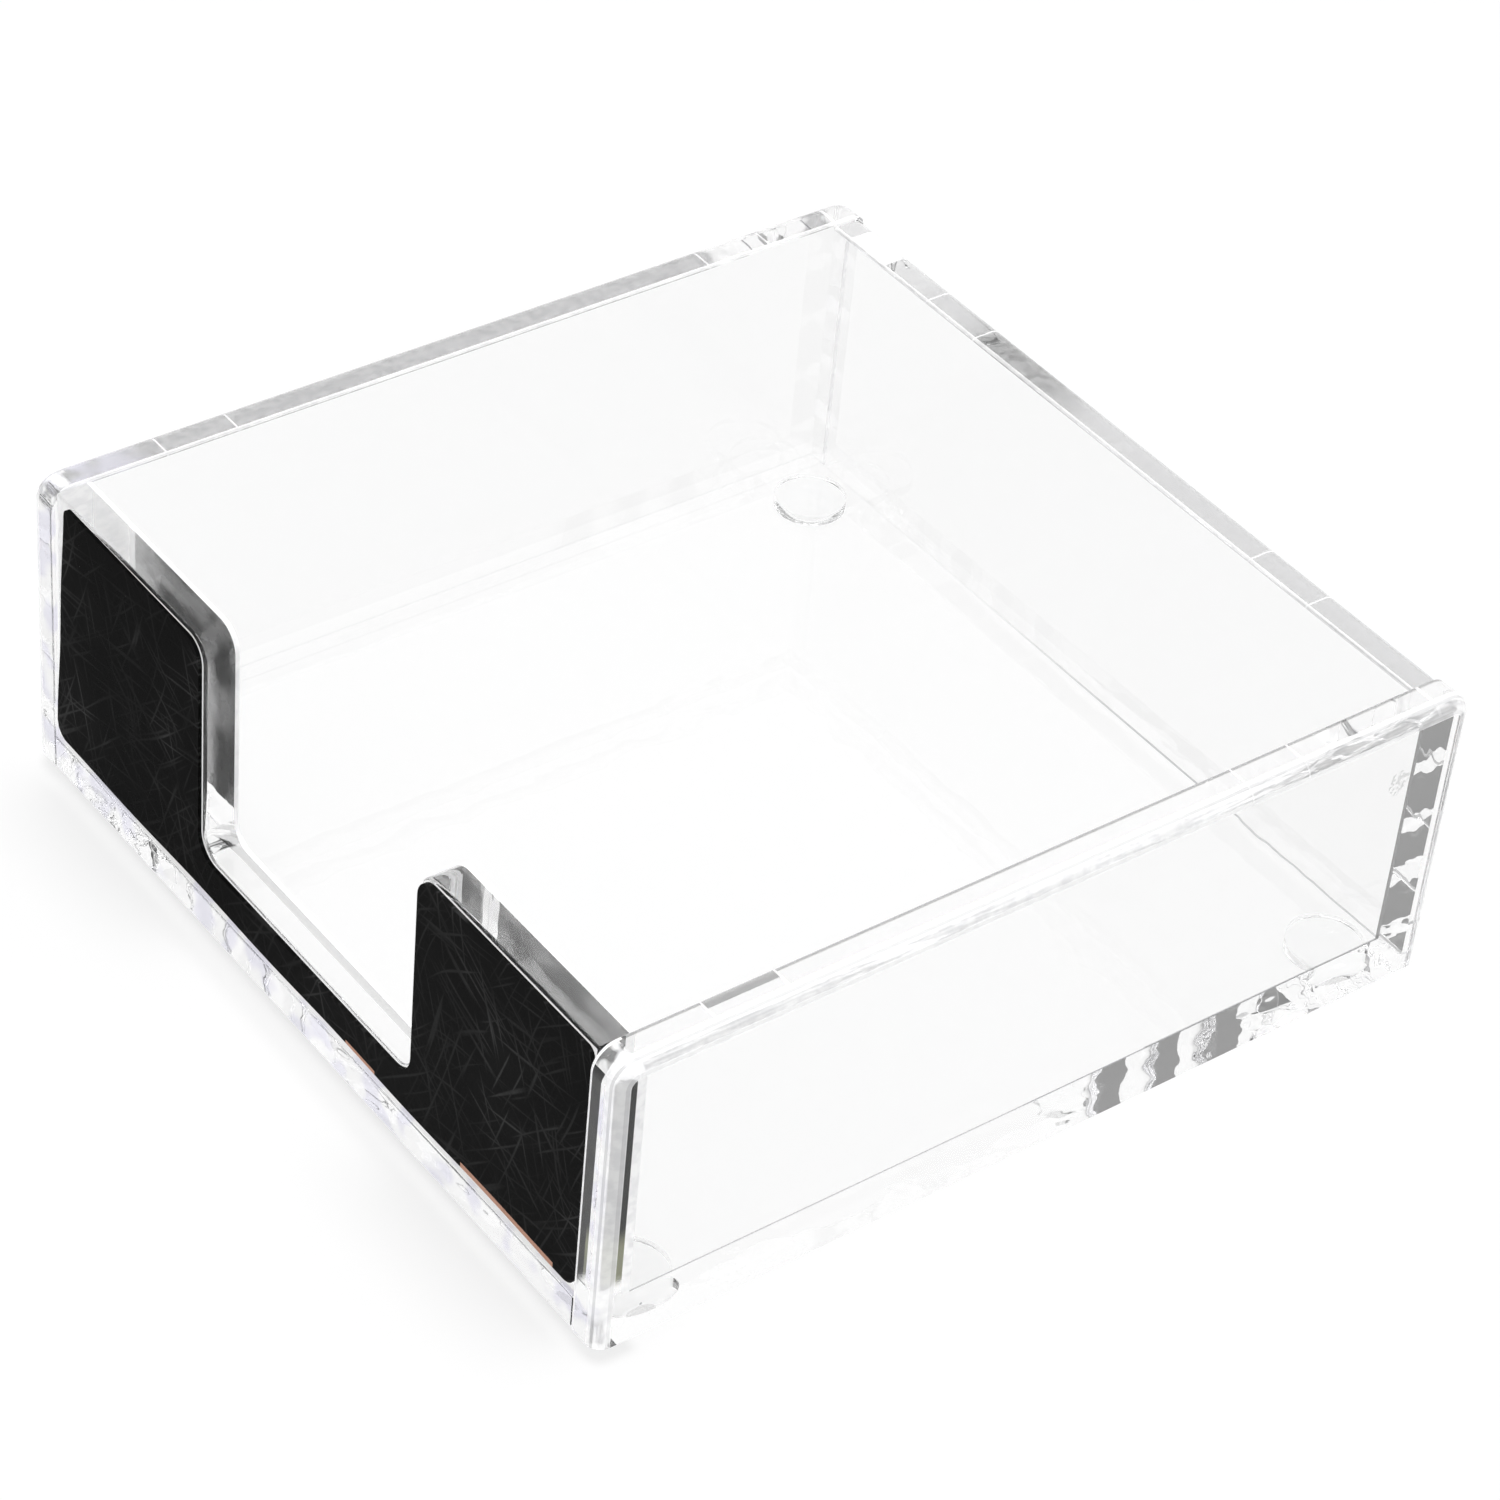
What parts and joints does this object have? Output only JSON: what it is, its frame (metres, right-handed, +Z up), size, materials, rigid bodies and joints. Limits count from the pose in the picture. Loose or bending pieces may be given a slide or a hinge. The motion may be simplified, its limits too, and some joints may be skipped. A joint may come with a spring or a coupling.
{
  "type": "memo tray",
  "caption": "Clear open-topped desk tray for square memo sheets, with a thumb notch in its black-faced front wall and low bumper feet.",
  "frame": {"origin": "on the surface that the feet stand on, under the middle of the tray", "axes": "+X to the tray's right seen from its front, +Y from the notched front to the back, +Z up"},
  "size_m": [0.1, 0.1006, 0.0365],
  "materials": {
    "clear_acrylic": "clear cast sheet, polished faces and edges",
    "black_facing": "glossy black with fine handling scratches",
    "adhesive_film": "thin adhesive film",
    "clear_bumper": "clear soft bumper"
  },
  "bodies": {
    "root": {"floor_plate": "clear_acrylic", "left_side_plate": "clear_acrylic", "right_side_plate": "clear_acrylic", "back_plate": "clear_acrylic", "front_plate": "clear_acrylic", "front_facing": "black_facing", "facing_adhesive": "adhesive_film", "foot_front_left": "clear_bumper", "foot_front_right": "clear_bumper", "foot_back_left": "clear_bumper", "foot_back_right": "clear_bumper"}
  },
  "joints": []
}
